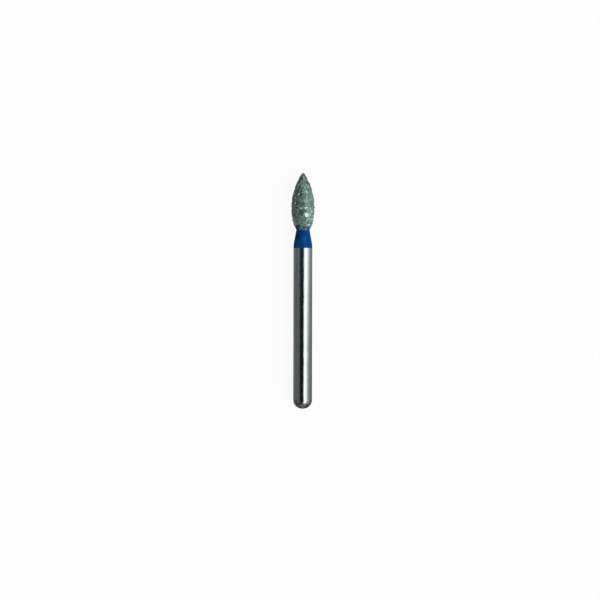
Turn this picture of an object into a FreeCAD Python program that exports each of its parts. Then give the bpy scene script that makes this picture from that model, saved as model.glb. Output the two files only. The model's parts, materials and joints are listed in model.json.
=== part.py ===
import FreeCAD, Part
import Sketcher
import math
import os
import random
from FreeCAD import Placement, Rotation, Vector

# Dental bur with a pointed flame head and a friction grip shank.
# A steel blank is turned in one piece. Its head carries a plated layer of diamond grit, and its taper
# and neck carry a ring of blue lacquer that tells the grit size.
# The bur lies on the widest part of its head and on the end of its shank, with its tip towards +Y.

document = FreeCAD.newDocument("dental_bur")

# Driving dimensions in millimetres. Heights are taken along the bur from its butt end.
SIZES = [
    ("shank_diameter", 1.6, "pin that the turbine's chuck grips"),
    ("shank_length", 13.92, "butt end to the start of the taper"),
    ("butt_radius", 0.74, "rounding of the butt end"),
    ("taper_length", 1.2, "cone between shank and neck"),
    ("neck_diameter", 1.14, "neck below the head, over the lacquer"),
    ("neck_length", 0.14, "end of the taper to the head"),
    ("head_diameter", 1.95, "head at its widest, over the grit"),
    ("head_length", 4.77, "head's base to its tip"),
    ("widest_height", 1.85, "head's base to its widest place"),
    ("belly_radius", 7.7, "long arc below the widest place"),
    ("belly_height", 0.87, "height of that long arc"),
    ("tip_radius", 0.11, "rounding of the tip"),
    ("layer_thickness", 0.2, "plated diamond layer, from the outermost crystals to the steel core"),
    ("layer_edge", 0.06, "width of the layer's lower rim on the neck"),
    ("grain_size", 0.14, "one diamond crystal to the next, round and along the head"),
    ("grain_relief", 0.05, "from the outermost crystals in to the nickel that holds them"),
    ("core_rise", 0.15, "layer's rim to the shoulder of the steel core"),
    ("core_tip_radius", 0.05, "rounding of the steel core's tip"),
    ("lacquer_thickness", 0.03, "blue ring, flush with the shank"),
    ("band_overlap", 0.29, "blue ring on the shank below the taper"),
]

sheet = document.addObject("Spreadsheet::Sheet", "Sizes")
for row, (alias, value, meaning) in enumerate(SIZES, start=1):
    sheet.set("A%d" % row, alias)
    sheet.set("B%d" % row, str(value))
    sheet.set("C%d" % row, meaning)
    sheet.setAlias("B%d" % row, alias)
document.recompute()

# Radii and heights that more than one piece uses.
SHANK_RADIUS = "(Sizes.shank_diameter / 2)"
NECK_RADIUS = "(Sizes.neck_diameter / 2)"
HEAD_RADIUS = "(Sizes.head_diameter / 2)"
RELIEF_RADIUS = "(Sizes.shank_diameter / 2 - Sizes.lacquer_thickness)"
STEEL_NECK_RADIUS = "(Sizes.neck_diameter / 2 - Sizes.lacquer_thickness)"
BAND_START = "(Sizes.shank_length - Sizes.band_overlap)"
TAPER_START = "Sizes.shank_length"
TAPER_END = "(Sizes.shank_length + Sizes.taper_length)"
HEAD_BASE = "(Sizes.shank_length + Sizes.taper_length + Sizes.neck_length)"
WIDEST_HEIGHT = "(%s + Sizes.widest_height)" % HEAD_BASE
TIP_HEIGHT = "(%s + Sizes.head_length)" % HEAD_BASE
CORE_BASE = "(%s + Sizes.core_rise)" % HEAD_BASE

# Point numbers of a sketch line or arc, and the numbers of a sketch's own axes.
START, END, CENTRE = range(1, 4)
ACROSS, AXIS = -1, -2
ORIGIN = (ACROSS, START)

# The grit: the start of the draw that sets each crystal's place, how far it strays from an even pattern
# as a share of the grain, and the fewest crystals in a row round the tip.
GRIT_DRAW = 7
GRIT_STRAY = 0.3
TIP_CRYSTALS = 5


def new_body(label):
    """A piece of the bur, with its axis along its own Z and the butt end at its origin."""
    body = document.addObject("PartDesign::Body", label)
    body.Label = label
    return body


def new_sketch(body, name):
    """A sketch through the bur's axis: across is the radius, and up is the height from the butt end."""
    sketch = body.newObject("Sketcher::SketchObject", name)
    planes = [plane for plane in body.Origin.OriginFeatures if plane.Role == "XZ_Plane"]
    sketch.AttachmentSupport = [(planes[0], "")]
    sketch.MapMode = "FlatFace"
    return sketch


def spot(sketch, radius, height):
    """Place of a radius and a height, each given as a rule on the sheet."""
    return Vector(float(sketch.evalExpression(radius)), float(sketch.evalExpression(height)), 0)


def bind(sketch, name, kind, *where, rule):
    """Adds a dimension whose value follows a rule on the sheet."""
    value = float(sketch.evalExpression(rule))
    index = sketch.addConstraint(Sketcher.Constraint(kind, *where, value))
    sketch.renameConstraint(index, name)
    sketch.setExpression("Constraints." + name, rule)


def place_end(sketch, name, edge, end, radius, height):
    """Fixes one end of an edge by its radius and its height."""
    if radius == "0":
        sketch.addConstraint(Sketcher.Constraint("PointOnObject", edge, end, AXIS))
    else:
        bind(sketch, name + "_radius", "DistanceX", *ORIGIN, edge, end, rule=radius)
    if height == "0":
        sketch.addConstraint(Sketcher.Constraint("PointOnObject", edge, end, ACROSS))
    else:
        bind(sketch, name + "_height", "DistanceY", *ORIGIN, edge, end, rule=height)


def draw_corners(sketch, corners):
    """Draws straight edges between corners, each a name, a radius and a height, and returns them."""
    spots = [spot(sketch, radius, height) for name, radius, height in corners]
    edges = []
    for first, second in zip(spots, spots[1:]):
        edges.append(sketch.addGeometry(Part.LineSegment(first, second)))
    for edge, following in zip(edges, edges[1:]):
        sketch.addConstraint(Sketcher.Constraint("Coincident", edge, END, following, START))
    for edge, (name, radius, height) in zip(edges, corners):
        place_end(sketch, name, edge, START, radius, height)
    name, radius, height = corners[-1]
    place_end(sketch, name, edges[-1], END, radius, height)
    return edges


def close_outline(sketch, first_edge, last_edge):
    """Joins the last edge's end to the first edge's start."""
    first = sketch.getPoint(first_edge, START)
    last = sketch.getPoint(last_edge, END)
    closing = sketch.addGeometry(Part.LineSegment(last, first))
    sketch.addConstraint(Sketcher.Constraint("Coincident", last_edge, END, closing, START))
    sketch.addConstraint(Sketcher.Constraint("Coincident", closing, END, first_edge, START))


def arc_between(centre, radius, first, second):
    """Arc round a centre from the direction of one spot to that of another, turning left."""
    start_angle = (first - centre).getAngle(Vector(1, 0, 0))
    end_angle = (second - centre).getAngle(Vector(1, 0, 0))
    if first.y < centre.y:
        start_angle = -start_angle
    if second.y < centre.y:
        end_angle = -end_angle
    return Part.ArcOfCircle(Part.Circle(centre, Vector(0, 0, 1), radius), start_angle, end_angle)


def draw_flame(sketch, base_edge, widest, tip, tip_radius, belly_radius):
    """Draws the flame's outline from a base edge's end to the tip.

    A shoulder arc leaves the neck, a long belly arc meets it at a smooth join and stands upright at the
    widest place, and from there an ogive arc runs into the small arc of the tip.
    """
    foot = sketch.getPoint(base_edge, END)
    wide = spot(sketch, widest, WIDEST_HEIGHT)
    point = spot(sketch, "0", tip)
    tip_size = float(sketch.evalExpression(tip_radius))
    belly_size = float(sketch.evalExpression(belly_radius))
    belly_drop = float(sketch.evalExpression("Sizes.belly_height"))

    belly_centre = Vector(wide.x - belly_size, wide.y, 0)
    join = Vector(belly_centre.x + (belly_size**2 - belly_drop**2) ** 0.5, wide.y - belly_drop, 0)
    inward = (belly_centre - join).normalize()
    chord = foot - join
    shoulder_size = chord.Length**2 / (2 * chord.dot(inward))
    shoulder_centre = join + inward * shoulder_size
    tip_centre = Vector(0, point.y - tip_size, 0)
    rise = tip_centre.y - wide.y
    ogive_size = (wide.x**2 + rise**2 - tip_size**2) / (2 * (wide.x - tip_size))
    ogive_centre = Vector(wide.x - ogive_size, wide.y, 0)
    tip_join = tip_centre + (tip_centre - ogive_centre).normalize() * tip_size

    shoulder = sketch.addGeometry(arc_between(shoulder_centre, shoulder_size, foot, join))
    belly = sketch.addGeometry(arc_between(belly_centre, belly_size, join, wide))
    ogive = sketch.addGeometry(arc_between(ogive_centre, ogive_size, wide, tip_join))
    nose = sketch.addGeometry(arc_between(tip_centre, tip_size, tip_join, point))

    sketch.addConstraint(Sketcher.Constraint("Coincident", base_edge, END, shoulder, START))
    sketch.addConstraint(Sketcher.Constraint("Tangent", shoulder, END, belly, START))
    sketch.addConstraint(Sketcher.Constraint("Tangent", belly, END, ogive, START))
    sketch.addConstraint(Sketcher.Constraint("Tangent", ogive, END, nose, START))
    sketch.addConstraint(Sketcher.Constraint("Horizontal", belly, CENTRE, belly, END))
    sketch.addConstraint(Sketcher.Constraint("PointOnObject", nose, CENTRE, AXIS))
    sketch.addConstraint(Sketcher.Constraint("PointOnObject", nose, END, AXIS))
    bind(sketch, "widest_radius", "DistanceX", *ORIGIN, belly, END, rule=widest)
    bind(sketch, "widest_height", "DistanceY", *ORIGIN, belly, END, rule=WIDEST_HEIGHT)
    bind(sketch, "belly_radius", "Radius", belly, rule=belly_radius)
    bind(sketch, "belly_height", "DistanceY", belly, START, belly, END, rule="Sizes.belly_height")
    bind(sketch, "tip_radius", "Radius", nose, rule=tip_radius)
    bind(sketch, "tip_height", "DistanceY", *ORIGIN, nose, END, rule=tip)
    return nose


def draw_core(sketch):
    """Outline of the head's steel core, down to the head's base: the flame less the layer's thickness."""
    corners = [
        ("axis", "0", HEAD_BASE),
        ("neck", STEEL_NECK_RADIUS, HEAD_BASE),
        ("core_foot", STEEL_NECK_RADIUS, CORE_BASE),
    ]
    edges = draw_corners(sketch, corners)
    nose = draw_flame(
        sketch,
        edges[-1],
        widest="(%s - Sizes.layer_thickness)" % HEAD_RADIUS,
        tip="(%s - Sizes.layer_thickness)" % TIP_HEIGHT,
        tip_radius="Sizes.core_tip_radius",
        belly_radius="(Sizes.belly_radius - Sizes.layer_thickness)",
    )
    close_outline(sketch, edges[0], nose)


def turn(body, kind, name, sketch):
    """Turns a sketch once round the bur's axis, as added or as removed material."""
    feature = body.newObject("PartDesign::" + kind, name)
    feature.Profile = sketch
    feature.ReferenceAxis = (sketch, ["V_Axis"])
    feature.Angle = 360
    document.recompute()
    return feature


def lay_down(body):
    """Lays the bur on the table: its head is wider than its shank, so its axis climbs towards the tip.

    The table touches the rounding of the butt end and the belly's long arc. The slope is the tilt of the
    line that touches both circles.
    """
    across = "(%s - Sizes.butt_radius - %s + Sizes.belly_radius)" % (SHANK_RADIUS, HEAD_RADIUS)
    along = "(%s - Sizes.butt_radius)" % WIDEST_HEIGHT
    gain = "(Sizes.belly_radius - Sizes.butt_radius)"
    slope = "(asin(%s / sqrt(%s ^ 2 + %s ^ 2)) - atan2(%s; %s))" % (gain, across, along, across, along)
    body.Placement = Placement(Vector(0, 0, 0), Rotation(Vector(1, 0, 0), -90))
    body.setExpression("Placement.Rotation.Angle", "%s - 90 deg" % slope)
    body.setExpression("Placement.Base.y", "-%s / 2 * cos(%s)" % (TIP_HEIGHT, slope))
    height = "(%s - Sizes.butt_radius) * cos(%s) - Sizes.butt_radius * sin(%s) + Sizes.butt_radius"
    body.setExpression("Placement.Base.z", height % (SHANK_RADIUS, slope, slope))


def make_steel_blank():
    """Turned stainless blank: shank with a rounded butt end, lacquer relief, taper, neck and head core."""
    body = new_body("steel_blank")
    shank_sketch = new_sketch(body, "ShankOutline")
    corners = [
        ("butt_axis", "0", "0"),
        ("butt", SHANK_RADIUS, "0"),
        ("band_shoulder", SHANK_RADIUS, BAND_START),
        ("relief_start", RELIEF_RADIUS, BAND_START),
        ("taper_start", RELIEF_RADIUS, TAPER_START),
        ("taper_end", STEEL_NECK_RADIUS, TAPER_END),
        ("neck_end", STEEL_NECK_RADIUS, HEAD_BASE),
        ("neck_axis", "0", HEAD_BASE),
    ]
    edges = draw_corners(shank_sketch, corners)
    close_outline(shank_sketch, edges[0], edges[-1])
    shank = turn(body, "Revolution", "Shank", shank_sketch)

    rounding = body.newObject("PartDesign::Fillet", "ButtRounding")
    butt_zone = float(sheet.get("butt_radius")) / 2
    rims = []
    for number, edge in enumerate(shank.Shape.Edges, start=1):
        if edge.BoundBox.ZMax < butt_zone:
            rims.append("Edge%d" % number)
    rounding.Base = (shank, rims)
    rounding.setExpression("Radius", "min(Sizes.butt_radius; %s - 0.05)" % SHANK_RADIUS)
    document.recompute()

    core_sketch = new_sketch(body, "CoreOutline")
    draw_core(core_sketch)
    turn(body, "Revolution", "HeadCore", core_sketch)
    return body


def draw_flame_outline():
    """Sketch of the flame that the outermost crystals reach, from the layer's rim to the tip."""
    outline = document.addObject("Sketcher::SketchObject", "FlameOutline")
    outline.Placement = Placement(Vector(0, 0, 0), Rotation(Vector(1, 0, 0), 90))
    corners = [
        ("axis", "0", HEAD_BASE),
        ("rim", "(%s + Sizes.layer_edge)" % STEEL_NECK_RADIUS, HEAD_BASE),
    ]
    edges = draw_corners(outline, corners)
    nose = draw_flame(
        outline,
        edges[-1],
        widest=HEAD_RADIUS,
        tip=TIP_HEIGHT,
        tip_radius="Sizes.tip_radius",
        belly_radius="Sizes.belly_radius",
    )
    close_outline(outline, edges[0], nose)
    document.recompute()
    return outline


def rim_row(edge, grain):
    """The layer's rim on the neck: evenly spaced corners, level and all at one radius.

    A row lists the angle round the axis and the place of each of its corners.
    """
    count = round(2 * math.pi * edge.x / grain)
    angles = [2 * math.pi * number / count for number in range(count)]
    return [(angle, Vector(edge.x * math.cos(angle), edge.x * math.sin(angle), edge.z)) for angle in angles]


def grit_row(middle, grain, relief, chance):
    """One row of crystals round the axis, each with its outermost corner in a place set by chance.

    The corner stands anywhere from the flame's outline to the relief below it, and a little out of line.
    """
    count = max(TIP_CRYSTALS, round(2 * math.pi * middle.x / grain))
    start = chance.random()
    row = []
    for number in range(count):
        angle = 2 * math.pi * (start + number + chance.uniform(-GRIT_STRAY, GRIT_STRAY)) / count
        radius = middle.x - relief * chance.random()
        height = middle.z + grain * chance.uniform(-GRIT_STRAY, GRIT_STRAY)
        row.append((angle, Vector(radius * math.cos(angle), radius * math.sin(angle), height)))
    return row


def facets_between(lower, upper):
    """Facets between two rows of corners, which need not be as many in one row as in the other."""
    lower = lower + [(lower[0][0] + 2 * math.pi, lower[0][1])]
    upper = upper + [(upper[0][0] + 2 * math.pi, upper[0][1])]
    facets = []
    low = 0
    high = 0
    while low < len(lower) - 1 or high < len(upper) - 1:
        upper_done = high == len(upper) - 1
        if upper_done or (low < len(lower) - 1 and lower[low + 1][0] < upper[high + 1][0]):
            facets.append([lower[low][1], lower[low + 1][1], upper[high][1]])
            low += 1
        else:
            facets.append([lower[low][1], upper[high + 1][1], upper[high][1]])
            high += 1
    return facets


def make_grit_skin():
    """The head's outside: a flame covered in crystals, whose flat faces meet at corners set by chance."""
    grain = float(sheet.get("grain_size"))
    relief = float(sheet.get("grain_relief"))
    chance = random.Random(GRIT_DRAW)
    arcs = [edge for edge in draw_flame_outline().Shape.Edges if isinstance(edge.Curve, Part.Circle)]
    line = Part.Wire(Part.sortEdges(arcs)[0])
    middles = sorted(line.discretize(Number=round(line.Length / grain)), key=lambda middle: middle.z)

    rows = [rim_row(middles[0], grain)]
    for middle in middles[1:-1]:
        rows.append(grit_row(middle, grain, relief, chance))
    facets = [[corner for angle, corner in reversed(rows[0])]]
    for lower, upper in zip(rows, rows[1:]):
        facets += facets_between(lower, upper)
    top = [corner for angle, corner in rows[-1]]
    for corner, following in zip(top, top[1:] + top[:1]):
        facets.append([corner, following, middles[-1]])

    shell = Part.makeShell([Part.Face(Part.makePolygon([*facet, facet[0]])) for facet in facets])
    shell.sewShape()
    skin = document.addObject("Part::Feature", "GritSkin")
    skin.Shape = Part.makeSolid(shell)
    return skin


def make_diamond_layer():
    """Nickel plating with its grit: one shell over the steel core, open where the neck enters it."""
    room = new_body("CoreRoom")
    sketch = new_sketch(room, "RoomOutline")
    draw_core(sketch)
    turn(room, "Revolution", "Room", sketch)
    layer = document.addObject("Part::Cut", "diamond_layer")
    layer.Base = make_grit_skin()
    layer.Tool = room
    return layer


def make_colour_band():
    """Ring of blue lacquer in the blank's relief, over the end of the shank, the taper and the neck."""
    body = new_body("colour_band")
    sketch = new_sketch(body, "BandSection")
    corners = [
        ("inner_start", RELIEF_RADIUS, BAND_START),
        ("outer_start", SHANK_RADIUS, BAND_START),
        ("outer_taper_start", SHANK_RADIUS, TAPER_START),
        ("outer_taper_end", NECK_RADIUS, TAPER_END),
        ("outer_end", NECK_RADIUS, HEAD_BASE),
        ("inner_end", STEEL_NECK_RADIUS, HEAD_BASE),
        ("inner_taper_end", STEEL_NECK_RADIUS, TAPER_END),
        ("inner_taper_start", RELIEF_RADIUS, TAPER_START),
    ]
    edges = draw_corners(sketch, corners)
    close_outline(sketch, edges[0], edges[-1])
    turn(body, "Revolution", "Lacquer", sketch)
    return body


pieces = [make_steel_blank(), make_colour_band(), make_diamond_layer()]
for piece in pieces:
    lay_down(piece)
document.recompute()

for item in document.Objects:
    if "Invalid" in item.State or "Error" in item.State:
        raise RuntimeError("%s failed: %s" % (item.Label, item.State))
for piece in pieces:
    if piece.Shape.isNull() or not piece.Shape.isValid():
        raise RuntimeError("%s has no valid shape" % piece.Label)

os.makedirs("parts", exist_ok=True)
for piece in pieces:
    piece.Shape.exportStep("parts/%s.step" % piece.Label)
    box = piece.Shape.BoundBox
    print("%s %.3f mm3, %.3f to %.3f along, %.3f to %.3f high"
          % (piece.Label, piece.Shape.Volume, box.YMin, box.YMax, box.ZMin, box.ZMax))
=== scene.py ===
import json
import math
import random

import bmesh
import bpy
import numpy as np
from mathutils import Matrix, Quaternion, Vector, noise


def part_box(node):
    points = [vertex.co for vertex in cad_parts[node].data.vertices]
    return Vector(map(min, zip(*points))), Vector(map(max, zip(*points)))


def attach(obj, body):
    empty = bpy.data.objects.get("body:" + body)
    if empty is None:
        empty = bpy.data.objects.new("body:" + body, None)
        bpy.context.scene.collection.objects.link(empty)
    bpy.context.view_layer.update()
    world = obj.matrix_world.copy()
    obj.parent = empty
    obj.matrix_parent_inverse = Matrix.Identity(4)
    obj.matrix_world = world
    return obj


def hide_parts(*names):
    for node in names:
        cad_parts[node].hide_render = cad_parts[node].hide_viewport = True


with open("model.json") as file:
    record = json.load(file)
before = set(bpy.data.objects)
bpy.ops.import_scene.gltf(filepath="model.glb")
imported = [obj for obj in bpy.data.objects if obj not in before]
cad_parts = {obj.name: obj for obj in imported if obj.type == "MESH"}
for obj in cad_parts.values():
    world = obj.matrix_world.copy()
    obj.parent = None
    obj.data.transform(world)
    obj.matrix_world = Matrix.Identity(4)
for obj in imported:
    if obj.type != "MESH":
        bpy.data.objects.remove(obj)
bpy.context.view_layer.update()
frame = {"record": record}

# Steel blank.
# Stainless steel turned and ground in one piece: a shank with a rounded butt end, a shallow relief for
# the lacquer, a taper, a neck, and the core that the diamond layer is plated on.
MM = 0.001
SHANK_RADIUS = 0.8
BUTT_RADIUS = 0.74
BUTT_ROOM = 0.1
BUTT_CORNER = 1
BUTT_SEGMENTS = 16
BAND_START = 13.63
TAPER_START = 13.92
TAPER_END = 15.12
NECK_RADIUS = 0.57
LACQUER = 0.03
HEAD_BASE = 15.26
WIDEST = HEAD_BASE + 1.85
TIP = HEAD_BASE + 4.77
HEAD_RADIUS = 0.975
RIM_RADIUS = 0.6
TIP_RADIUS = 0.11
BELLY_RADIUS = 7.7
BELLY_HEIGHT = 0.87
LAYER = 0.2
CORE_RISE = 0.15
CORE_ROWS = 24
TURNS = 128

shank_mount = frame["record"]["mounts"][0]
axis = -Vector(shank_mount["axis"]).normalized()
on_axis = Vector(shank_mount["pos_m"])
butt_end = on_axis - axis * ((on_axis.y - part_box("steel_blank")[0].y) / axis.y)
lying = Matrix(((1, 0, 0), (0, axis.z, axis.y), (0, -axis.y, axis.z)))
LIE = Matrix.Translation(butt_end) @ lying.to_4x4()

belly_axis = HEAD_RADIUS - BELLY_RADIUS
join_radius = belly_axis + math.sqrt(BELLY_RADIUS**2 - BELLY_HEIGHT**2)
join_height = WIDEST - BELLY_HEIGHT
inward = Vector((belly_axis - join_radius, BELLY_HEIGHT)).normalized()
chord = Vector((RIM_RADIUS - join_radius, HEAD_BASE - join_height))
shoulder_radius = chord.length_squared / (2 * chord.dot(inward))
shoulder_centre = Vector((join_radius, join_height)) + inward * shoulder_radius
rise = TIP - TIP_RADIUS - WIDEST
ogive_radius = (HEAD_RADIUS**2 + rise**2 - TIP_RADIUS**2) / (2 * (HEAD_RADIUS - TIP_RADIUS))
nose_start = TIP - TIP_RADIUS + TIP_RADIUS * rise / (ogive_radius - TIP_RADIUS)


def flame_radius(height):
    """Radius of the head's flame outline over the grit, at a height along the bur."""
    if height < join_height:
        return shoulder_centre.x + math.sqrt(shoulder_radius**2 - (height - shoulder_centre.y) ** 2)
    if height < WIDEST:
        return belly_axis + math.sqrt(BELLY_RADIUS**2 - (height - WIDEST) ** 2)
    if height < nose_start:
        return HEAD_RADIUS - ogive_radius + math.sqrt(ogive_radius**2 - (height - WIDEST) ** 2)
    return math.sqrt(max(TIP_RADIUS**2 - (height - TIP + TIP_RADIUS) ** 2, 0.0))


def flame_corners(depth, start, rows):
    """Corners of the flame outline at a depth under the grit's surface, from a height up to its tip."""
    top = TIP - depth
    heights = [start + (top - start) * row / rows for row in range(rows)]
    return [(max(flame_radius(height) - depth, 0.0), height) for height in heights] + [(0, top)]


def turned(corners, rounded=()):
    """Turns a half outline, given in millimetres as radius and height, into a bmesh in the bur's own axes.

    Each rounded corner is its number in the outline, the size of its bevel and the bevel's segments.
    """
    lathe = bmesh.new()
    outline = [lathe.verts.new((radius * MM, 0, height * MM)) for radius, height in corners]
    for first, second in zip(outline, outline[1:]):
        lathe.edges.new((first, second))
    for number, size, segments in rounded:
        bmesh.ops.bevel(lathe, geom=[outline[number]], offset=size * MM, affect="VERTICES",
                        segments=segments, profile=0.5, material=-1)
    bmesh.ops.spin(lathe, geom=lathe.verts[:] + lathe.edges[:], cent=(0, 0, 0), axis=(0, 0, 1),
                   angle=2 * math.pi, steps=TURNS, use_merge=True)
    bmesh.ops.remove_doubles(lathe, verts=lathe.verts, dist=1e-8)
    bmesh.ops.recalc_face_normals(lathe, faces=lathe.faces)
    return lathe


def piece_from(shape, name, sharp_above=30):
    """Lays a finished bmesh down with the bur and makes it an object.

    Edges over an angle in degrees are left sharp.
    """
    for face in shape.faces:
        face.smooth = True
    for edge in shape.edges:
        edge.smooth = edge.calc_face_angle(0) < math.radians(sharp_above)
    bmesh.ops.transform(shape, matrix=LIE, verts=shape.verts)
    mesh = bpy.data.meshes.new(name)
    shape.to_mesh(mesh)
    shape.free()
    piece = bpy.data.objects.new(name, mesh)
    bpy.context.scene.collection.objects.link(piece)
    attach(piece, "root")
    return piece


def new_material(name):
    """A material with its Principled shader, ready for its own nodes."""
    material = bpy.data.materials.new(name)
    material.use_nodes = True
    shader = material.node_tree.nodes["Principled BSDF"]
    return material, material.node_tree, shader


def add_node(tree, kind, **settings):
    """Adds a node, with its settings and, for names in capitals, its input values."""
    node = tree.nodes.new(kind)
    for key, value in settings.items():
        if key[0].isupper():
            node.inputs[key.replace("_", " ")].default_value = value
        else:
            setattr(node, key, value)
    return node


def bur_place(tree):
    """Object coordinates turned into the bur's own axes in millimetres, with the height in Z."""
    coordinates = add_node(tree, "ShaderNodeTexCoord")
    place = add_node(tree, "ShaderNodeMapping", vector_type="TEXTURE", Location=LIE.translation,
                     Rotation=LIE.to_euler(), Scale=(MM, MM, MM))
    tree.links.new(coordinates.outputs["Object"], place.inputs["Vector"])
    return place.outputs["Vector"]


def part_of(tree, vector, letter):
    """One part of a vector, X, Y or Z."""
    node = add_node(tree, "ShaderNodeSeparateXYZ")
    tree.links.new(vector, node.inputs["Vector"])
    return node.outputs[letter]


def ranged(tree, value, start, end, low=0.0, high=1.0):
    """A value eased from low to high as it goes from start to end."""
    node = add_node(tree, "ShaderNodeMapRange", interpolation_type="SMOOTHSTEP",
                    From_Min=start, From_Max=end, To_Min=low, To_Max=high)
    tree.links.new(value, node.inputs["Value"])
    return node.outputs["Result"]


def reckoned(tree, operation, *values):
    """A sum on numbers and on other nodes' values."""
    node = add_node(tree, "ShaderNodeMath", operation=operation)
    for socket, value in zip(node.inputs, values):
        if isinstance(value, bpy.types.NodeSocket):
            tree.links.new(value, socket)
        else:
            socket.default_value = value
    return node.outputs["Value"]


# Places of a colour Mix node's two inputs and its result among its sockets.
MIX_LOW, MIX_HIGH, MIX_RESULT = 6, 7, 2


def mixed(tree, amount, low, high):
    """A colour between two, each a colour or another node's colour, by an amount from another node."""
    node = add_node(tree, "ShaderNodeMix", data_type="RGBA")
    tree.links.new(amount, node.inputs["Factor"])
    for socket, colour in ((node.inputs[MIX_LOW], low), (node.inputs[MIX_HIGH], high)):
        if isinstance(colour, bpy.types.NodeSocket):
            tree.links.new(colour, socket)
        else:
            socket.default_value = (*colour, 1)
    return node.outputs[MIX_RESULT]


def make_uneven_spots():
    """Node group for every finish that isn't quite even: soft spots, as many to a length as asked."""
    group = bpy.data.node_groups.new("uneven_spots", "ShaderNodeTree")
    group.interface.new_socket("Place", in_out="INPUT", socket_type="NodeSocketVector")
    for name in ("Spots", "Detail", "Low", "High"):
        group.interface.new_socket(name, in_out="INPUT", socket_type="NodeSocketFloat")
    group.interface.new_socket("Value", in_out="OUTPUT", socket_type="NodeSocketFloat")
    source = group.nodes.new("NodeGroupInput")
    result = group.nodes.new("NodeGroupOutput")
    spots = add_node(group, "ShaderNodeTexNoise")
    spread = add_node(group, "ShaderNodeMapRange", From_Min=0.3, From_Max=0.7)
    group.links.new(source.outputs["Place"], spots.inputs["Vector"])
    group.links.new(source.outputs["Spots"], spots.inputs["Scale"])
    group.links.new(source.outputs["Detail"], spots.inputs["Detail"])
    group.links.new(spots.outputs["Fac"], spread.inputs["Value"])
    group.links.new(source.outputs["Low"], spread.inputs["To Min"])
    group.links.new(source.outputs["High"], spread.inputs["To Max"])
    group.links.new(spread.outputs["Result"], result.inputs["Value"])
    return group


UNEVEN_SPOTS = make_uneven_spots()


def uneven(tree, place, spots, low=0.0, high=1.0, detail=2.0):
    """Places the uneven spots group in a material and returns its value.

    Its spots are to the place's own unit, which is the millimetre on the bur.
    """
    node = add_node(tree, "ShaderNodeGroup", node_tree=UNEVEN_SPOTS, Spots=spots, Detail=detail,
                    Low=low, High=high)
    tree.links.new(place, node.inputs["Place"])
    return node.outputs["Value"]


def stretched(tree, place, scale):
    """The same place with each axis scaled, for lines and streaks."""
    node = add_node(tree, "ShaderNodeMapping", Scale=scale)
    tree.links.new(place, node.inputs["Vector"])
    return node.outputs["Vector"]


def bump(tree, shader, height, depth_mm, below=None):
    """Adds a bump of a depth in millimetres to the shader's normal, on top of one below it."""
    node = add_node(tree, "ShaderNodeBump", Strength=1.0, Distance=depth_mm * MM)
    tree.links.new(height, node.inputs["Height"])
    if below:
        tree.links.new(below, node.inputs["Normal"])
    tree.links.new(node.outputs["Normal"], shader.inputs["Normal"])
    return node.outputs["Normal"]


blank_outline = [
    (0, 0),
    (SHANK_RADIUS, 0),
    (SHANK_RADIUS, BUTT_RADIUS + BUTT_ROOM),
    (SHANK_RADIUS, BAND_START),
    (SHANK_RADIUS - LACQUER, BAND_START),
    (SHANK_RADIUS - LACQUER, TAPER_START),
    (NECK_RADIUS - LACQUER, TAPER_END),
    (NECK_RADIUS - LACQUER, HEAD_BASE),
    *flame_corners(LAYER, HEAD_BASE + CORE_RISE, CORE_ROWS),
]
blank = piece_from(turned(blank_outline, [(BUTT_CORNER, BUTT_RADIUS, BUTT_SEGMENTS)]), "shank")
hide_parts("steel_blank")

# The shank is ground bright. Its butt end is left dull and pitted, up to a frayed edge, and the steel's
# colour there is darkened as painted shade.
BRIGHT_STEEL = ((0.58, 0.60, 0.60), (0.63, 0.65, 0.65))
DULL_AND_SHADED_STEEL = ((0.07, 0.08, 0.085), (0.55, 0.58, 0.58))
DULL_EDGE = (0.92, 0.68)
FRAYING = 0.4
DULL_ROUGHNESS = 0.15
LINES_PER_MM = 30.0
LINE_DEPTH = 0.0006
WAVE_DEPTH = 0.008
PIT_DEPTH = 0.012
steel, tree, shader = new_material("ground_steel")
place = bur_place(tree)
frayed = reckoned(tree, "ADD", part_of(tree, place, "Z"), uneven(tree, place, 1.8, 0.0, FRAYING))
end = ranged(tree, frayed, *DULL_EDGE)
shader.inputs["Metallic"].default_value = 1.0
bright = mixed(tree, uneven(tree, place, 0.8), *BRIGHT_STEEL)
# Painted shade: the butt end's steel colour is made dark, on top of its real dull, pitted finish.
dull_shaded_end = mixed(tree, uneven(tree, place, 6.5), *DULL_AND_SHADED_STEEL)
tree.links.new(mixed(tree, end, bright, dull_shaded_end), shader.inputs["Base Color"])
polish = uneven(tree, place, 3.0, 0.10, 0.17)
tree.links.new(reckoned(tree, "MULTIPLY_ADD", end, DULL_ROUGHNESS, polish), shader.inputs["Roughness"])
lines = uneven(tree, stretched(tree, place, (0.6, 0.6, LINES_PER_MM)), 1.0)
waves = uneven(tree, place, 1.3, detail=1.0)
grinding = bump(tree, shader, lines, LINE_DEPTH)
waviness = bump(tree, shader, waves, WAVE_DEPTH, grinding)
pits = reckoned(tree, "MULTIPLY", end, uneven(tree, place, 9.0, detail=3.0))
bump(tree, shader, pits, PIT_DEPTH, waviness)
blank.data.materials.append(steel)

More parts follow.
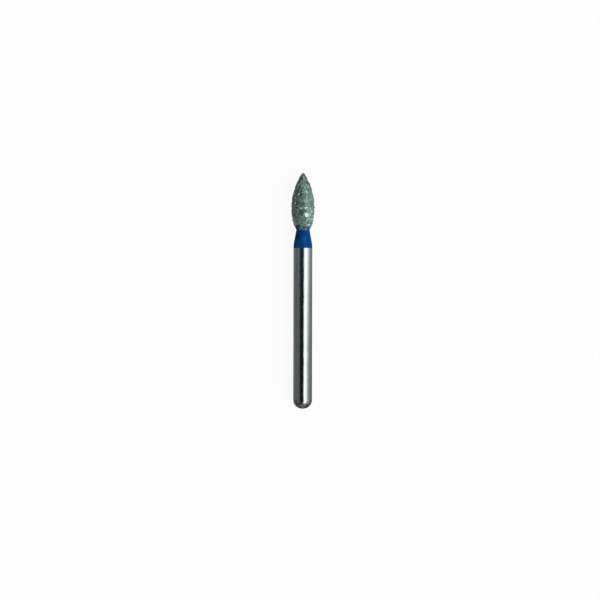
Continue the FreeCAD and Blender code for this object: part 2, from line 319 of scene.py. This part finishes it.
# Colour band.
# Glossy dark blue lacquer, brushed on as the bur turned, in the relief at the end of the shank and over
# the taper and neck. It ends in a clean edge on the shank, and in a ragged lip over the lowest grit.
CREEP = 0.05
LIP = 0.02
LIP_TURN = 0.01
SWELLING = 0.005
SWELLING_START = 0.06
LIP_RAGS_PER_M = 5000
LIP_RAG_HEIGHT = 0.09
lacquer_outline = [
    (SHANK_RADIUS - LACQUER, BAND_START),
    (SHANK_RADIUS, BAND_START),
    (SHANK_RADIUS, TAPER_START),
    (NECK_RADIUS, TAPER_END),
    (NECK_RADIUS + SWELLING, HEAD_BASE - SWELLING_START),
    (NECK_RADIUS + LIP, HEAD_BASE - LIP_TURN),
    (RIM_RADIUS + LIP, HEAD_BASE + CREEP),
    (NECK_RADIUS - LACQUER, HEAD_BASE + CREEP),
    (NECK_RADIUS - LACQUER, TAPER_END),
    (SHANK_RADIUS - LACQUER, TAPER_START),
    (SHANK_RADIUS - LACQUER, BAND_START),
]
# The film flows round the corners where the taper meets the neck and the shank.
SHANK_CORNER, NECK_CORNER = 2, 3
lacquer_shape = turned(lacquer_outline, [(NECK_CORNER, 0.2, 6), (SHANK_CORNER, 0.22, 5)])
for vert in lacquer_shape.verts:
    climb = min(max(vert.co.z / MM - HEAD_BASE + 0.1, 0.0) / 0.15, 1.0)
    vert.co.z += climb * noise.noise(vert.co * LIP_RAGS_PER_M) * LIP_RAG_HEIGHT * MM
band = piece_from(lacquer_shape, "lacquer_band")
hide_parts("colour_band")

# The film's blue where it lies deep and thin, darker at the band's foot as painted shade, in the neck's
# pool, and lighter under the neck's drops as a painted highlight.
FILM_DEEP = (0.0003, 0.032, 0.16)
FILM_THIN = (0.0006, 0.08, 0.275)
FILM_SHADE_LINE = (0.0002, 0.02, 0.10)
FILM_NECK = (0.0004, 0.055, 0.17)
FILM_DROP_GLINT = (0.004, 0.17, 0.31)
SHADE_LINE_SHARE = 0.15
FILM_UNEVENNESS = 0.004
lacquer, tree, shader = new_material("blue_lacquer")
place = bur_place(tree)
brushed = uneven(tree, stretched(tree, place, (1.0, 1.0, 0.4)), 2.5)
height = part_of(tree, place, "Z")
# Painted shade: the blue darkens towards the foot of the band, below the taper.
shade_line = ranged(tree, height, TAPER_START + 0.15, TAPER_START - 0.05, 0.0, SHADE_LINE_SHARE)
pooled = ranged(tree, height, TAPER_END - 0.08, TAPER_END + 0.04)
film = mixed(tree, pooled, mixed(tree, brushed, FILM_DEEP, FILM_THIN), FILM_NECK)
# Drops of clear lacquer at the neck give the coat; under them the blue is lightened as a painted highlight.
drops_and_glint = reckoned(tree, "MULTIPLY", pooled, ranged(tree, uneven(tree, place, 2.3), 0.62, 0.85))
film = mixed(tree, drops_and_glint, film, FILM_DROP_GLINT)
tree.links.new(mixed(tree, shade_line, film, FILM_SHADE_LINE), shader.inputs["Base Color"])
tree.links.new(uneven(tree, place, 5.0, 0.2, 0.36), shader.inputs["Roughness"])
shader.inputs["Specular IOR Level"].default_value = 0.1
tree.links.new(drops_and_glint, shader.inputs["Coat Weight"])
shader.inputs["Coat IOR"].default_value = 2.7
shader.inputs["Coat Roughness"].default_value = 0.08
bump(tree, shader, uneven(tree, place, 4.0), FILM_UNEVENNESS)
band.data.materials.append(lacquer)

# Nickel bond.
# Nickel plated over the steel core in a rough, dull skin, which holds each crystal of the grit by its lower
# half. At its foot the lacquer of the band has crept over it.
BOND_DEPTH = 0.08
BOND_ROWS = 110
COARSE_LUMPS_PER_M = 9000
FINE_LUMPS_PER_M = 22000
COARSE_SHARE = 0.6
LUMP_HEIGHT = 0.02
bond_outline = [(NECK_RADIUS - LACQUER, HEAD_BASE), *flame_corners(BOND_DEPTH, HEAD_BASE, BOND_ROWS)]
bond_shape = turned(bond_outline)
for vert in bond_shape.verts:
    coarse = noise.noise(vert.co * COARSE_LUMPS_PER_M) * COARSE_SHARE
    fine = noise.noise(vert.co * FINE_LUMPS_PER_M) * (1 - COARSE_SHARE)
    outwards = Vector((vert.co.x, vert.co.y, 0)).normalized()
    vert.co += outwards * (coarse + fine) * LUMP_HEIGHT * MM
bond = piece_from(bond_shape, "nickel_bond", sharp_above=60)
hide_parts("diamond_layer")

CREPT_OVER = (0.008, 0.03, 0.1)
CREEP_TONGUES = 0.8
CREEP_EDGE = (0.6, 0.46)


def make_lacquer_creep():
    """Node group for what the lacquer has crept over: a ragged mask at the foot of the head."""
    group = bpy.data.node_groups.new("lacquer_creep", "ShaderNodeTree")
    group.interface.new_socket("Place", in_out="INPUT", socket_type="NodeSocketVector")
    group.interface.new_socket("Mask", in_out="OUTPUT", socket_type="NodeSocketFloat")
    source = group.nodes.new("NodeGroupInput")
    result = group.nodes.new("NodeGroupOutput")
    ragged = uneven(group, source.outputs["Place"], CREEP_TONGUES, 0.0, 0.8, 2.0)
    reach = reckoned(group, "ADD", part_of(group, source.outputs["Place"], "Z"), ragged)
    start, end = (HEAD_BASE + above for above in CREEP_EDGE)
    group.links.new(ranged(group, reach, start, end), result.inputs["Mask"])
    return group


LACQUER_CREEP = make_lacquer_creep()


def crept_over(tree, place, colour):
    """A colour with the lacquer over it where it crept, and that mask."""
    creep = add_node(tree, "ShaderNodeGroup", node_tree=LACQUER_CREEP)
    tree.links.new(place, creep.inputs["Place"])
    return mixed(tree, creep.outputs["Mask"], colour, CREPT_OVER), creep.outputs["Mask"]


NICKEL = ((0.12, 0.235, 0.21), (0.28, 0.41, 0.38))
NICKEL_SHARE = 0.5
NICKEL_ROUGHNESS = 0.5
NICKEL_GRAIN = 0.01
nickel, tree, shader = new_material("plated_nickel")
place = bur_place(tree)
plated = mixed(tree, uneven(tree, place, 6.0), *NICKEL)
colour, crept = crept_over(tree, place, plated)
tree.links.new(colour, shader.inputs["Base Color"])
bare = reckoned(tree, "MULTIPLY_ADD", crept, -NICKEL_SHARE, NICKEL_SHARE)
tree.links.new(bare, shader.inputs["Metallic"])
shader.inputs["Roughness"].default_value = NICKEL_ROUGHNESS
bump(tree, shader, uneven(tree, place, 20.0, detail=3.0), NICKEL_GRAIN)
bond.data.materials.append(nickel)

# Diamond grit.
# Broken crystals of grey-green diamond, from 0.1 to 0.36 mm across, set close together in the nickel with
# their upper part proud, the largest first and smaller ones between them. The plating has capped some and
# left them bright.

# Widths in millimetres and how many of each are tried. One that finds no room is left out.
CRYSTALS = ((0.36, 300), (0.29, 1000), (0.22, 2500), (0.16, 3500), (0.12, 3500))
SHAPES = 16
BLOCK = 0.95
CUTS = (4, 9)
CUT_AWAY = (0.38, 0.48)
FLATNESS = (0.5, 1.0)
SHORTEST_EDGE = 0.03
SMALLEST = 0.1
GROWTH = 0.5
SPACING = 0.37
TILT = 0.12
PATCH_TILT = 0.6
PATCHES_PER_MM = 1.7
TONE_PATCH = 0.5
TONES_PER_MM = 2.0
LOWEST_TOP = -0.03
HIGHEST_TOP = 0.032
TIP_START = 0.3
TIP_PROUD = 0.03
PROUD_RADIUS = 0.18
PROUD_SPREAD = 0.14
random.seed(23)
noise.seed_set(1)


def make_crystal(cuts, flatness):
    """A block about one unit across, its corners broken off along random planes that spare a flat top."""
    shape = bmesh.new()
    bmesh.ops.create_cube(shape, size=BLOCK)
    for _ in range(cuts):
        away = Vector((random.gauss(0, 1), random.gauss(0, 1), random.gauss(0, flatness))).normalized()
        cut = bmesh.ops.bisect_plane(shape, geom=shape.verts[:] + shape.edges[:] + shape.faces[:],
                                     plane_co=away * random.uniform(*CUT_AWAY), plane_no=away,
                                     clear_outer=True)
        rim = [part for part in cut["geom_cut"] if isinstance(part, bmesh.types.BMEdge)]
        bmesh.ops.contextual_create(shape, geom=rim)
    bmesh.ops.remove_doubles(shape, verts=shape.verts, dist=SHORTEST_EDGE)
    bmesh.ops.recalc_face_normals(shape, faces=shape.faces)
    mesh = bpy.data.meshes.new("crystal")
    shape.to_mesh(mesh)
    shape.free()
    return mesh


def flame_normal(height):
    """Outward direction of the flame's outline, as radius and height parts."""
    step = 0.002
    low = max(height - step, HEAD_BASE)
    high = min(height + step, TIP - 1e-4)
    along = Vector((flame_radius(high) - flame_radius(low), high - low)).normalized()
    return Vector((along.y, -along.x))


def standing_out(point):
    """How far a point in the bur's own axes, in millimetres, stands out of the flame's outline."""
    across = math.hypot(point.x, point.y)
    if point.z > nose_start:
        return math.hypot(across, point.z - TIP + TIP_RADIUS) - TIP_RADIUS
    return (across - flame_radius(point.z)) * flame_normal(point.z).x


crystals = [make_crystal(random.randint(*CUTS), random.uniform(*FLATNESS)) for _ in range(SHAPES)]
grit_shape = bmesh.new()
tones = []
seats = np.zeros((0, 4))
for largest, tries in CRYSTALS:
    for _ in range(tries):
        height = random.uniform(HEAD_BASE + 0.02, TIP - 0.001)
        angle = random.uniform(0, 2 * math.pi)
        across = flame_radius(height)
        out = flame_normal(height)
        if random.random() > across / HEAD_RADIUS / max(out.x, 0.2):
            continue
        size = min(largest, SMALLEST + GROWTH * across)
        seat = Vector((across * math.cos(angle), across * math.sin(angle), height))
        room = np.linalg.norm(seats[:, :3] - np.array(seat), axis=1) - seats[:, 3]
        if len(room) and room.min() < size * SPACING:
            continue
        seats = np.vstack((seats, (*seat, size * SPACING)))
        up = Vector((out.x * math.cos(angle), out.x * math.sin(angle), out.y))
        leaning = up + Vector([random.gauss(0, TILT) for _ in range(3)])
        leaning += noise.noise_vector(seat * PATCHES_PER_MM) * PATCH_TILT
        turn = Quaternion(leaning, random.uniform(0, 2 * math.pi)) @ leaning.to_track_quat("Z", "Y")
        crystal = random.choice(crystals).copy()
        crystal.transform(Matrix.LocRotScale(seat - up * size * 0.5, turn, Vector.Fill(3, size)))
        top = max(standing_out(vert.co) for vert in crystal.vertices)
        highest = HIGHEST_TOP * min(across / TIP_START, 1.0)
        proud = TIP_PROUD * (1 - min(abs(across - PROUD_RADIUS) / PROUD_SPREAD, 1.0))
        sinking = up * (random.uniform(LOWEST_TOP, highest) + proud - top)
        crystal.transform(Matrix.Scale(MM, 4) @ Matrix.Translation(sinking))
        grit_shape.from_mesh(crystal)
        tone = random.random() * (1 - TONE_PATCH) + TONE_PATCH / 2
        tone += noise.noise(seat * TONES_PER_MM) * TONE_PATCH
        tones += [tone] * len(crystal.vertices)
        bpy.data.meshes.remove(crystal)
grit = piece_from(grit_shape, "diamond_grit", sharp_above=0)
grit.data.attributes.new("tone", "FLOAT", "POINT").data.foreach_set("value", tones)
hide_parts("diamond_layer")

GREEN_DIAMOND = ((0.075, 0.205, 0.168), (0.215, 0.425, 0.355))
GREY_DIAMOND = (0.2, 0.215, 0.235)
GREY_SHARE = 0.6
CAPPING = (0.56, 0.7, 0.665)
CAPPED_ABOVE = 0.54
CRYSTAL_ROUGHNESS = 0.2
CAPPING_ROUGHNESS = 0.14
DIAMOND_IOR = 2.4
diamond, tree, shader = new_material("diamond_crystals")
place = bur_place(tree)
tone = add_node(tree, "ShaderNodeAttribute", attribute_name="tone").outputs["Fac"]
green = mixed(tree, tone, *GREEN_DIAMOND)
patchy = mixed(tree, uneven(tree, place, 1.2, 0.0, GREY_SHARE), green, GREY_DIAMOND)
capped = reckoned(tree, "GREATER_THAN", tone, CAPPED_ABOVE)
colour, crept = crept_over(tree, place, mixed(tree, capped, patchy, CAPPING))
tree.links.new(colour, shader.inputs["Base Color"])
roughness = reckoned(tree, "MULTIPLY_ADD", capped, CAPPING_ROUGHNESS, CRYSTAL_ROUGHNESS)
tree.links.new(roughness, shader.inputs["Roughness"])
shader.inputs["IOR"].default_value = DIAMOND_IOR
tree.links.new(reckoned(tree, "SUBTRACT", capped, crept), shader.inputs["Metallic"])
grit.data.materials.append(diamond)

# Table.
# A plain white sheet that the bur lies on. The camera sees it an even white, with the bur's soft shadow.
TABLE_REACH = 0.6
GLOW_SHARE = 0.93
SEEN_PAPER = (0.9, 0.9, 0.9)
LIT_PAPER = (0.3, 0.3, 0.3)
floor_shape = bmesh.new()
bmesh.ops.create_grid(floor_shape, x_segments=1, y_segments=1, size=TABLE_REACH)
floor_mesh = bpy.data.meshes.new("table")
floor_shape.to_mesh(floor_mesh)
floor_shape.free()
floor = bpy.data.objects.new("table", floor_mesh)
bpy.context.scene.collection.objects.link(floor)


def seen_by_eye(tree):
    """One for the camera, for mirror rays and for rays through glass, and nothing for diffuse light."""
    rays = add_node(tree, "ShaderNodeLightPath")
    direct = reckoned(tree, "MAXIMUM", rays.outputs["Is Camera Ray"], rays.outputs["Is Glossy Ray"])
    return reckoned(tree, "MAXIMUM", direct, rays.outputs["Is Transmission Ray"])


white = bpy.data.materials.new("white_table")
white.use_nodes = True
tree = white.node_tree
tree.nodes.clear()
eye = seen_by_eye(tree)
paper = add_node(tree, "ShaderNodeBsdfDiffuse")
tree.links.new(mixed(tree, eye, LIT_PAPER, SEEN_PAPER), paper.inputs["Color"])
glow = add_node(tree, "ShaderNodeEmission", Color=(1, 1, 1, 1), Strength=1.0)
blend = add_node(tree, "ShaderNodeMixShader")
output = add_node(tree, "ShaderNodeOutputMaterial")
tree.links.new(reckoned(tree, "MULTIPLY", eye, GLOW_SHARE), blend.inputs["Fac"])
tree.links.new(paper.outputs["BSDF"], blend.inputs[1])
tree.links.new(glow.outputs["Emission"], blend.inputs[2])
tree.links.new(blend.outputs["Shader"], output.inputs["Surface"])
floor.data.materials.append(white)
floor.visible_glossy = False

# Studio.
# One soft lamp to the right of the bur and a little towards its butt end, an even pale room, and round the
# bur a tent that only its gloss mirrors, painted with the lamp, a black card overhead and grey sides.
ROOM_LEVEL = 0.31
world = bpy.data.worlds.new("pale_room")
bpy.context.scene.world = world
world.use_nodes = True
tree = world.node_tree
room = tree.nodes["Background"]
room.inputs["Color"].default_value = (1, 1, 1, 1)
tree.links.new(ranged(tree, seen_by_eye(tree), 0.0, 1.0, ROOM_LEVEL, 1.0), room.inputs["Strength"])

LAMP_DISTANCE = 0.2
LAMP_SIZE = 0.19
LAMP_AZIMUTH = math.radians(50)
LAMP_LEAN = math.radians(14)
LAMP_LEVEL = 4.1
towards_lamp = Vector((math.sin(LAMP_AZIMUTH) * math.cos(LAMP_LEAN), -math.sin(LAMP_LEAN),
                       math.cos(LAMP_AZIMUTH) * math.cos(LAMP_LEAN)))
lamp_data = bpy.data.lights.new("soft_lamp", "AREA")
lamp_data.shape = "SQUARE"
lamp_data.size = LAMP_SIZE
lamp_data.energy = math.pi * LAMP_SIZE**2 * LAMP_LEVEL
lamp = bpy.data.objects.new("soft_lamp", lamp_data)
lamp.location = towards_lamp * LAMP_DISTANCE
lamp.rotation_euler = towards_lamp.to_track_quat("Z", "Y").to_euler()
lamp.visible_camera = False
lamp.visible_glossy = False
bpy.context.scene.collection.objects.link(lamp)

# The paint goes round the tent by its angle in degrees from straight up, with the right side plus.
TENT_RADIUS = 0.06
TENT_LENGTH = 0.4
TENT_SEGMENTS = 96
WHITE = 1.7
TENT_PAINT = (
    (-140, (0.2, 0.205, 0.205)),
    (-115, (0.19, 0.2, 0.195)),
    (-100, (0.15, 0.162, 0.156)),
    (-80, (0.125, 0.138, 0.136)),
    (-58, (0.165, 0.176, 0.168)),
    (-45, (0.13, 0.145, 0.14)),
    (-34, (0.06, 0.068, 0.064)),
    (-27, (0.012, 0.014, 0.014)),
    (-4, (0.006, 0.008, 0.008)),
    (4, (0.025, 0.03, 0.028)),
    (10.5, (0.22, 0.24, 0.23)),
    (16.5, (1.12, 1.16, 1.13)),
    (22, (1.62, 1.66, 1.62)),
    (48, (1.6, 1.62, 1.58)),
    (61, (1.2, 1.23, 1.2)),
    (75, (0.7, 0.735, 0.74)),
    (92, (0.42, 0.44, 0.445)),
    (112, (0.27, 0.29, 0.3)),
    (160, (0.18, 0.19, 0.19)),
)
tent_shape = bmesh.new()
along_y = Matrix.Rotation(math.pi / 2, 4, "X")
bmesh.ops.create_cone(tent_shape, cap_ends=True, segments=TENT_SEGMENTS, radius1=TENT_RADIUS,
                      radius2=TENT_RADIUS, depth=TENT_LENGTH, matrix=along_y)
tent_mesh = bpy.data.meshes.new("tent")
tent_shape.to_mesh(tent_mesh)
tent_shape.free()
tent = bpy.data.objects.new("tent", tent_mesh)
bpy.context.scene.collection.objects.link(tent)
for kind in ("camera", "diffuse", "transmission", "volume_scatter", "shadow"):
    setattr(tent, "visible_" + kind, False)

# Along the tent, in metres: the paint is lit between two fading edges and dim past them, its stripes past
# the lamp's near edge crowd together towards the butt end, it is cooler beside the band, and the far ends
# are plain grey walls.
BUTT_FADE = (-0.062, -0.045)
TIP_FADE = (0.026, 0.014)
DIM_SHARE = 0.35
NEAR_EDGE = 9
CROWDING_FROM = 0.006
CROWDING_TO = -0.016
CROWDING = 1.42
BAND_SIDE = (0.0, 0.004)
HEAD_SIDE = (0.0058, 0.0046)
COOL = (0.0, 0.018, 0.035)
BLACK = (0.01, 0.01, 0.01)
WALLS_FROM = 0.09
WALLS_TO = 0.16
LOW_WALL = (0.18, 0.19, 0.19)
HIGH_WALL = (0.3, 0.31, 0.31)
CLOUDS_PER_M = 80
CLOUD_DARK = (0.88, 0.88, 0.88)
CLOUD_BRIGHT = (1.08, 1.08, 1.08)


def layered(tree, blend_type, below, above):
    """One node's colour added to another's, or multiplied by it."""
    node = add_node(tree, "ShaderNodeMix", data_type="RGBA", blend_type=blend_type, Factor=1.0)
    tree.links.new(below, node.inputs[MIX_LOW])
    tree.links.new(above, node.inputs[MIX_HIGH])
    return node.outputs[MIX_RESULT]


paint = bpy.data.materials.new("tent_paint")
paint.use_nodes = True
paint.cycles.emission_sampling = "NONE"
tree = paint.node_tree
tree.nodes.clear()
spot = add_node(tree, "ShaderNodeTexCoord").outputs["Object"]
along = part_of(tree, spot, "Y")
turn = reckoned(tree, "ARCTAN2", part_of(tree, spot, "X"), part_of(tree, spot, "Z"))
turn = reckoned(tree, "DEGREES", turn)
crowding = ranged(tree, along, CROWDING_FROM, CROWDING_TO, 1.0, CROWDING)
past_edge = reckoned(tree, "MAXIMUM", reckoned(tree, "SUBTRACT", turn, NEAR_EDGE), 0.0)
turn = reckoned(tree, "MULTIPLY_ADD", past_edge, crowding, reckoned(tree, "MINIMUM", turn, NEAR_EDGE))
turn = reckoned(tree, "MULTIPLY_ADD", turn, 1 / 360, 0.5)
ramp = add_node(tree, "ShaderNodeValToRGB")
tree.links.new(turn, ramp.inputs["Fac"])
stops = ramp.color_ramp.elements
while len(stops) < len(TENT_PAINT):
    stops.new(1.0)
for stop, (angle, colour) in zip(stops, TENT_PAINT):
    stop.position = angle / 360 + 0.5
    stop.color = (*(part / WHITE for part in colour), 1)
lit = reckoned(tree, "MULTIPLY", ranged(tree, along, *BUTT_FADE), ranged(tree, along, *TIP_FADE))
dim = reckoned(tree, "MULTIPLY_ADD", lit, 1 - DIM_SHARE, DIM_SHARE)
painted = mixed(tree, dim, BLACK, ramp.outputs["Color"])
far = ranged(tree, reckoned(tree, "ABSOLUTE", along), WALLS_FROM, WALLS_TO)
aside = reckoned(tree, "ABSOLUTE", reckoned(tree, "SUBTRACT", turn, 0.5))
overhead = ranged(tree, aside, 0.3, 0.1)
painted = mixed(tree, far, painted, mixed(tree, overhead, LOW_WALL, HIGH_WALL))
by_band = reckoned(tree, "MULTIPLY", ranged(tree, along, *BAND_SIDE), ranged(tree, along, *HEAD_SIDE))
tinted = layered(tree, "ADD", painted, mixed(tree, by_band, (0, 0, 0), COOL))
clouds = mixed(tree, uneven(tree, spot, CLOUDS_PER_M), CLOUD_DARK, CLOUD_BRIGHT)
light = add_node(tree, "ShaderNodeEmission", Strength=WHITE)
output = add_node(tree, "ShaderNodeOutputMaterial")
tree.links.new(layered(tree, "MULTIPLY", tinted, clouds), light.inputs["Color"])
tree.links.new(light.outputs["Emission"], output.inputs["Surface"])
tent_mesh.materials.append(paint)

# Camera.
# It looks straight down on the lying bur through a long lens, with the tip at the top of the picture.
SENSOR = 0.036
LENS = 0.12
PHOTO_WIDTH = 600
SHANK_PIXELS = 18.84
PIXEL = 2 * SHANK_RADIUS * MM / SHANK_PIXELS
ASIDE_PIXELS = -2.8
BELOW_PIXELS = -9.3
ROLL = math.radians(0.12)
view_centre = Vector((ASIDE_PIXELS * PIXEL, BELOW_PIXELS * PIXEL, SHANK_RADIUS * MM))
distance = LENS / SENSOR * PHOTO_WIDTH * PIXEL
camera_data = bpy.data.cameras.new("camera")
camera_data.lens = LENS * 1000
camera_data.sensor_width = SENSOR * 1000
camera_data.clip_start = 0.01
camera_data.clip_end = 2.0
camera = bpy.data.objects.new("camera", camera_data)
camera.location = view_centre + Vector((0, 0, distance))
camera.rotation_euler = (0, 0, ROLL)
bpy.context.scene.collection.objects.link(camera)
bpy.context.scene.camera = camera
bpy.context.scene.view_settings.view_transform = "Standard"
